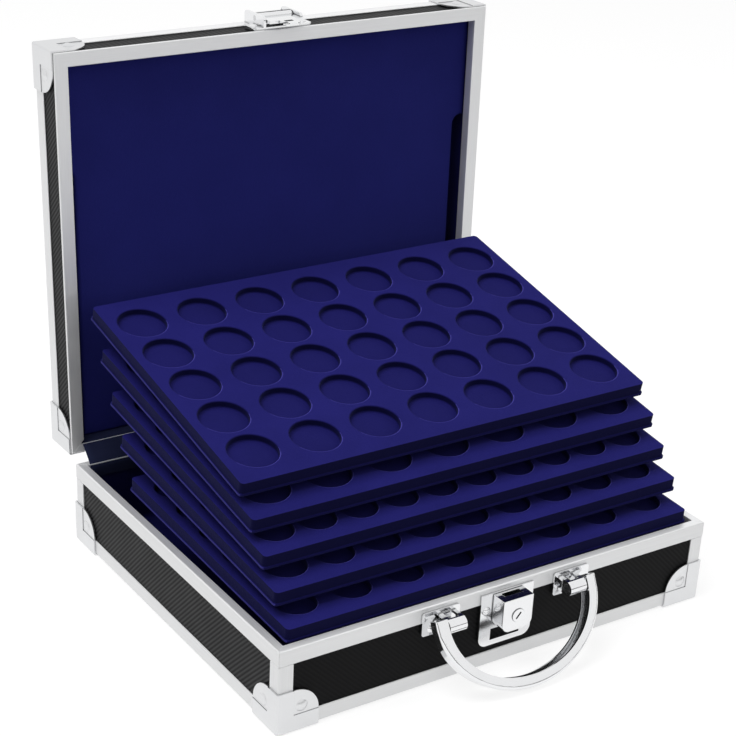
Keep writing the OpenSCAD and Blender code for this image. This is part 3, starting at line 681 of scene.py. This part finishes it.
# %% Base lining
LINING = 0.7 * MM
LINING_CORNER = 2.2 * MM
LINING_BELOW = 6.4 * MM
rim_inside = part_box("base_rim_left")[1].x
room_low = Vector((rim_inside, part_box("base_rim_front")[1].y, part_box("base_bottom_board")[1].z + LINING))
room_high = Vector((-rim_inside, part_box("base_rim_back")[0].y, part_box("base_lining")[1].z - LINING_BELOW))


def open_box(low, high, corner, open_side):
    """A box seen from inside, with rounded edges, open at the top (1) or the bottom (-1)."""
    bm = bmesh.new()
    bmesh.ops.create_cube(bm, size=1)
    bmesh.ops.scale(bm, vec=high - low, verts=bm.verts)
    bmesh.ops.translate(bm, vec=(low + high) / 2, verts=bm.verts)
    lid = [face for face in bm.faces if face.normal.z * open_side > 0.5]
    bmesh.ops.delete(bm, geom=lid, context="FACES")
    inner = [edge for edge in bm.edges if len(edge.link_faces) == 2]
    round_edges(bm, inner, corner, 4)
    bmesh.ops.reverse_faces(bm, faces=bm.faces[:])
    return bm


base_box = open_box(room_low, room_high, LINING_CORNER, 1)
base_lining = piece("base_lining_velour", base_box, lining_velour, "base")
thicken(base_lining, LINING, -1)
flatten_shading(base_lining)
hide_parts("base_lining")
print("base lining", [round(v / MM, 1) for v in room_high - room_low], "mm")

# %% [markdown]
# ## Lining of the lid
# The lid is easier to think about when it is closed, so its pieces are made level, as if the case were shut,
# and then swung open about the hinge by the angle that the frame's hinge states.

# %% Lid lining
hinge = joint_named("lid_hinge")
hinge_point = Vector(hinge["pos_m"])
swing = (
    Matrix.Translation(hinge_point) @ Matrix.Rotation(math.radians(-hinge["range_deg"][1]), 4, "X")
    @ Matrix.Translation(-hinge_point)
)
LID_GAP = 1 * MM
LID_HEIGHT = 23.5 * MM
RIM_LIP = 6 * MM
BOARD = 3.8 * MM
lid_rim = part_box("base_rim_front")[1].z + LID_GAP
lid_low = Vector((room_low.x, room_low.y, lid_rim + RIM_LIP))
lid_high = Vector((room_high.x, room_high.y, lid_rim + LID_HEIGHT - BOARD - LINING))
lid_box = open_box(lid_low, lid_high, LINING_CORNER, -1)
lid_lining = piece("lid_lining_velour", lid_box, lining_velour, "lid", swing)
thicken(lid_lining, LINING, -1)
flatten_shading(lid_lining)
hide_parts("lid_lining")
print("lid lining swung", hinge["range_deg"][1], "degrees")

# %% [markdown]
# ## Pad of the lid
# The pad is a board wrapped in velour: a slab, cut into a grid, with rounded edges and a slight crown. A long
# notch runs up each side from the hinge.

# %% Lid pad
PAD_RECESS = 8.5 * MM
PAD_THICK = 5 * MM
PAD_ROUND = 1.3 * MM
PAD_CROWN = 0.7 * MM
PAD_GRID = 12 * MM
NOTCH_WIDTH = 7 * MM
NOTCH_LENGTH = 148 * MM
NOTCH_ROUND = 5 * MM
PAD_CLEAR = 0.3 * MM


def lid_pad():
    """The velour-covered board of the closed lid, face down, with its two notches."""
    bm = bmesh.new()
    low = Vector((lid_low.x + PAD_CLEAR, lid_low.y + PAD_CLEAR, 0))
    high = Vector((lid_high.x - PAD_CLEAR, lid_high.y - PAD_CLEAR, 0))
    face_height = lid_rim + PAD_RECESS
    notch_end = high.y - NOTCH_LENGTH
    corners = [
        (low.x, low.y), (high.x, low.y), (high.x, notch_end), (high.x - NOTCH_WIDTH, notch_end),
        (high.x - NOTCH_WIDTH, high.y), (low.x + NOTCH_WIDTH, high.y), (low.x + NOTCH_WIDTH, notch_end),
        (low.x, notch_end),
    ]
    points = [bm.verts.new((x, y, face_height)) for x, y in corners]
    bm.faces.new(points)
    round_corners(bm, [points[3], points[6]], NOTCH_ROUND, 8)
    made = bmesh.ops.extrude_face_region(bm, geom=bm.faces[:])["geom"]
    bmesh.ops.translate(bm, vec=(0, 0, PAD_THICK), verts=points_of(made))
    bmesh.ops.recalc_face_normals(bm, faces=bm.faces[:])
    face_edges = [edge for edge in bm.edges if all(v.co.z < face_height + 1e-6 for v in edge.verts)]
    round_edges(bm, face_edges, PAD_ROUND, 4)
    for axis in (0, 1):
        steps = int((high[axis] - low[axis]) / PAD_GRID)
        normal = Vector((axis == 0, axis == 1, 0))
        for step in range(1, steps):
            cut_through(bm, low + normal * (high[axis] - low[axis]) * step / steps, normal)
    middle = (low + high) / 2
    for vert in bm.verts:
        if vert.co.z < face_height + 1e-5:
            across_pad = 2 * (vert.co.x - middle.x) / (high.x - low.x)
            along_pad = 2 * (vert.co.y - middle.y) / (high.y - low.y)
            vert.co.z -= PAD_CROWN * (1 - across_pad ** 4) * (1 - along_pad ** 4)
    return bm


pad = piece("lid_pad_velour", lid_pad(), lid_velour, "lid", swing)
flatten_shading(pad)
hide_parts("lid_pad")
print("pad faces", len(pad.data.polygons))

# %% [markdown]
# ## Rims of the lid
# On the lid, the extrusion shows a wide face towards the viewer and hardly any leg on the outside, so the
# black board reaches almost to the rim. The section is drawn as a few points, from the outside inwards,
# and extruded along a side. Each point stops short of the corner by its own distance from the outside,
# which cuts a mitre. The rim at the hinge keeps its full leg, where the hinge leaf is fixed.

# %% Lid rims
RIM_FACE = 7.2 * MM
RIM_LEG = 1.6 * MM
SHEET = 0.8 * MM
outside_low = Vector((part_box("base_rim_left")[0].x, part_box("base_rim_front")[0].y))
outside_high = Vector((-outside_low.x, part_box("base_rim_back")[1].y))
outside = outside_high - outside_low
rim_middle = (outside_low + outside_high) / 2
RIM_SECTION = [
    (0, 0), (RIM_FACE, 0), (RIM_FACE, RIM_LIP), (RIM_FACE - SHEET, RIM_LIP), (RIM_FACE - SHEET, SHEET),
    (SHEET, SHEET), (SHEET, RIM_LEG), (0, RIM_LEG),
]


def rim_bar(run, across):
    """A mitred bar of the lid's rim along X, its outside at y = -across / 2, rim plane at z = 0."""
    bm = bmesh.new()
    outline = [(inward - run / 2, inward - across / 2, up) for inward, up in RIM_SECTION]
    end = bm.faces.new([bm.verts.new(point) for point in outline])
    made = bmesh.ops.extrude_face_region(bm, geom=[end])["geom"]
    for vert in points_of(made):
        vert.co.x = -vert.co.x
    bmesh.ops.recalc_face_normals(bm, faces=bm.faces[:])
    long_edges = [edge for edge in bm.edges if abs(edge.verts[0].co.x - edge.verts[1].co.x) > run / 2]
    round_edges(bm, long_edges, EASE["satin"] * MM, 2)
    return bm


for side, turn in (("front", 0), ("right", 90), ("left", -90)):
    run, across_lid = (outside.x, outside.y) if turn == 0 else (outside.y, outside.x)
    place = (
        swing @ Matrix.Translation((rim_middle.x, rim_middle.y, lid_rim))
        @ Matrix.Rotation(math.radians(turn), 4, "Z")
    )
    grain = satin_by_run[0 if turn == 0 else 2]
    rim = piece(f"lid_rim_{side}_wide", rim_bar(run, across_lid), grain, "lid", place)
    flatten_shading(rim)
    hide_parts(f"lid_rim_{side}")
    print(rim.name, "length", round(run, 4))

# %% [markdown]
# ## The bail
# The handle is a channel bent in one round sweep. Its solid has straight legs and a straight bar, so a copy
# of it is cut by planes that fan out from the middle between its pivots, and every point is then drawn in
# towards the middle until the bar follows half an ellipse. The pivots and the lowest point stay in place.

# %% Bail
BAIL_HALF = 45.6 * MM
BAIL_DROP = 38 * MM
BAIL_BEND = 34 * MM
BAIL_CUTS = 44
BAIL_LEAN = math.radians(28.3)
pivot = Vector(joint_named("handle_swing")["pos_m"])
upright = Matrix.Rotation(BAIL_LEAN, 4, "X") @ Matrix.Translation(-pivot)


def bent_reach(angle):
    """Distance from the middle to the bent bar, at an angle below the line of the pivots."""
    side, down = math.cos(angle), math.sin(angle)
    reach = min(BAIL_HALF / max(side, 1e-9), BAIL_DROP / max(down, 1e-9))
    bend = (BAIL_HALF - BAIL_BEND, BAIL_DROP - BAIL_BEND)
    if reach * side > bend[0] and reach * down > bend[1]:
        along = side * bend[0] + down * bend[1]
        reach = along + math.sqrt(along ** 2 - bend[0] ** 2 - bend[1] ** 2 + BAIL_BEND ** 2)
    return reach


def oval_reach(angle):
    """Distance from the middle to half an ellipse through the pivots and the lowest point."""
    return BAIL_HALF * BAIL_DROP / math.hypot(BAIL_DROP * math.cos(angle), BAIL_HALF * math.sin(angle))


def round_bail():
    """The handle's channel, drawn in to half an ellipse."""
    bm = bmesh.new()
    bm.from_mesh(frame["nodes"]["handle_bail"].data)
    bmesh.ops.remove_doubles(bm, verts=bm.verts, dist=WELD)
    bmesh.ops.transform(bm, matrix=upright, verts=bm.verts)
    bmesh.ops.dissolve_limit(
        bm, angle_limit=math.radians(1), use_dissolve_boundaries=False, verts=bm.verts, edges=bm.edges,
    )
    for cut in range(1, BAIL_CUTS):
        angle = math.pi * cut / BAIL_CUTS
        cut_through(bm, (0, 0, 0), (math.sin(angle), 0, math.cos(angle)))
    for vert in bm.verts:
        if vert.co.z < 0:
            angle = math.atan2(-vert.co.z, abs(vert.co.x))
            draw = oval_reach(angle) / bent_reach(angle)
            vert.co.x *= draw
            vert.co.z *= draw
    return bm


bail = piece("handle_bail_round", round_bail(), polished, "handle", upright.inverted())
ease_edges(bail, EASE["polished"])
flatten_shading(bail)
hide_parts("handle_bail")
print("bail faces", len(bail.data.polygons))

# %% [markdown]
# ## Cloth over the hinge
# A strip of the same velour runs from the base's back wall up to the lid and hides the hinge. It crosses
# the joint, and it is made in place as one piece that rides on neither body. It is drawn as a side view of a
# few points, made smooth, and pulled out to its width, with a faint ripple where nothing holds it. Its
# thickness isn't evened out, because that throws spikes at the fold when the lid is closed.

# %% Hinge strip
STRIP_THICK = 0.3 * MM
STRIP_CLEAR = 0.35 * MM
STRIP_TAIL = 9 * MM
STRIP_BELOW = 0.3 * MM
STRIP_SIDE = 1.5 * MM
STRIP_COLUMNS = 60
STRIP_RIPPLE = 0.25 * MM
RIPPLE_WAVES = (7 * MM, 19 * MM)
RIPPLE_HEIGHT = 4 * MM
RIPPLE_SPREAD = 5 * MM
strip_half = -rim_inside - STRIP_SIDE
base_edge_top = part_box("base_rim_back")[1].z
inner_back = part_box("base_rim_back")[0].y - STRIP_CLEAR
lid_edge = swing @ Vector((0, inner_back, lid_rim))
lid_inward = swing.to_3x3() @ Vector((0, 0, 1))
route = [
    Vector((0, inner_back, base_edge_top - STRIP_TAIL)),
    Vector((0, inner_back, base_edge_top - 0.5 * STRIP_TAIL)),
    Vector((0, inner_back, base_edge_top - STRIP_BELOW)),
    lid_edge,
    lid_edge + lid_inward * 0.5 * STRIP_TAIL,
    lid_edge + lid_inward * STRIP_TAIL,
]


def hinge_strip():
    """The strip at rest, from its side view pulled out across the case."""
    bm = bmesh.new()
    points = [bm.verts.new(point + Vector((-strip_half, 0, 0))) for point in route]
    for first, second in zip(points, points[1:]):
        bm.edges.new((first, second))
    bmesh.ops.subdivide_edges(bm, edges=bm.edges[:], cuts=5)
    ends = {points[0], points[-1]}
    for _ in range(6):
        bmesh.ops.smooth_vert(
            bm, verts=[v for v in bm.verts if v not in ends], factor=0.5,
            use_axis_x=False, use_axis_y=True, use_axis_z=True,
        )
    line = bm.edges[:]
    for _ in range(STRIP_COLUMNS):
        line = draw_out(bm, line, (2 * strip_half / STRIP_COLUMNS, 0, 0))
    for vert in bm.verts:
        free = max(0.0, 1 - abs((vert.co.z - base_edge_top) - RIPPLE_HEIGHT) / RIPPLE_SPREAD)
        waves = [math.sin(vert.co.x / wave) for wave in RIPPLE_WAVES]
        vert.co.y += STRIP_RIPPLE * free * waves[0] * waves[1]
    bmesh.ops.recalc_face_normals(bm, faces=bm.faces[:])
    return bm


strip_length = sum((b - a).length for a, b in zip(route, route[1:]))
strip = piece("hinge_strip_velour", hinge_strip(), strip_cloth)
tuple(route[2])
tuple(route[3])
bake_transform(strip)
thicken(strip, STRIP_THICK, 0).use_even_offset = False

# %% [markdown]
# ## Floor
# The case stands on a plain white floor. It reads as white because it glows to the camera and to reflections,
# not because the lamps are strong, and it keeps the soft shadow.

# %% Floor
FLOOR_REACH = 6
FLOOR_BELOW = 0.2 * MM
FLOOR_GREY = 0.3
FLOOR_LIFT = 0.77


def seen_directly(start):
    """1 where a camera, mirror or glass ray looks, and 0 for light that bounces about."""
    seen = [start.node("LightPath", None, None, out=name) for name in (
        "Is Camera Ray", "Is Glossy Ray", "Is Transmission Ray")]
    return start.math("MINIMUM", seen[0] + seen[1] + seen[2], 1.0)


def pale_floor():
    """White paper that keeps a shadow and is lifted to white for the camera."""
    material = bpy.data.materials.new("pale_floor")
    material.use_nodes = True
    material.node_tree.nodes.clear()
    start = Wire(material.node_tree)
    paper = start.node("BsdfDiffuse", None, {"Color": (FLOOR_GREY, FLOOR_GREY, FLOOR_GREY, 1)})
    lift = start.node("Emission", None, {
        "Color": (1, 1, 1, 1), "Strength": FLOOR_LIFT * seen_directly(start),
    })
    both = start.node("AddShader", None, {0: paper, 1: lift})
    start.node("OutputMaterial", None, {"Surface": both})
    return material


floor_bm = bmesh.new()
bmesh.ops.create_grid(floor_bm, x_segments=1, y_segments=1, size=FLOOR_REACH)
floor = piece("floor", floor_bm, pale_floor())
floor.location.z = -FLOOR_BELOW
floor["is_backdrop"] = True
print("floor reaches", FLOOR_REACH, "m")

# %% [markdown]
# ## World
# The world is a plain white to the camera and to reflections, and a weaker fill for the light that bounces
# about. Polished metal needs something dark to mirror as well, so the world turns dark for mirror rays low
# down on the viewer's side, as a dark card in a studio would.

# %% World
WORLD_FILL = 0.32
CARD_DARK = 0.95
CARD_SIDE, CARD_SIDE_FADE = -0.1, 4
CARD_TOP, CARD_TOP_FADE = 0.16, 12
world = bpy.data.worlds.new("studio")
bpy.context.scene.world = world
world.use_nodes = True
world.node_tree.nodes.clear()
sky = Wire(world.node_tree)
direct = seen_directly(sky)
mirrored = sky.node("LightPath", None, None, out="Is Glossy Ray")
heading = sky.node("TexCoord", out="Generated")
away, up = [sky.node("SeparateXYZ", None, {0: heading}, out=axis) for axis in (1, 2)]
near_side = clamped(sky, (CARD_SIDE - away) * CARD_SIDE_FADE)
low_down = clamped(sky, (CARD_TOP - up) * CARD_TOP_FADE)
dark_side = mirrored * near_side * low_down * CARD_DARK
glow = sky.node("Background", None, {
    "Color": (1, 1, 1, 1), "Strength": (WORLD_FILL + (1 - WORLD_FILL) * direct) * (1.0 - dark_side),
})
sky.node("OutputWorld", None, {"Surface": glow})
print("world fill", WORLD_FILL)

# %% [markdown]
# ## Lamps
# Three large soft lamps light the case, at a level where a colour looks as it is written: the key from the
# left above, a weak one from the front and a weak one from the right. The camera and the mirrors don't see
# them.

# %% Lamps


def soft_lamp(name, place, aim, size, watts):
    """A square lamp that faces a point."""
    data = bpy.data.lights.new(name, "AREA")
    data.size = size
    data.energy = watts
    lamp = bpy.data.objects.new(name, data)
    lamp.visible_camera = False
    lamp.visible_glossy = False
    lamp.location = place
    lamp.rotation_euler = (Vector(aim) - Vector(place)).to_track_quat("-Z", "Y").to_euler()
    bpy.context.scene.collection.objects.link(lamp)


soft_lamp("key", (-0.9, 0.1, 2.1), (0, 0, 0.08), 1.4, 34)
soft_lamp("front", (-0.4, -2.0, 1.4), (0, 0, 0.1), 2.2, 9)
soft_lamp("right", (1.5, -0.3, 1.9), (0, 0, 0.1), 1.8, 10)
bpy.context.scene.view_settings.view_transform = "Standard"

# %% [markdown]
# ## Sizes
# The dressed case has to stay the size of its solids. Both boxes are written down, so they can be
# compared.

# %% Sizes
low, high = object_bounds()
sizes = [[round(v / MM, 1) for v in box] for box in (high - low, cad_high - cad_low)]
print("visual box", sizes[0], "of", sizes[1])
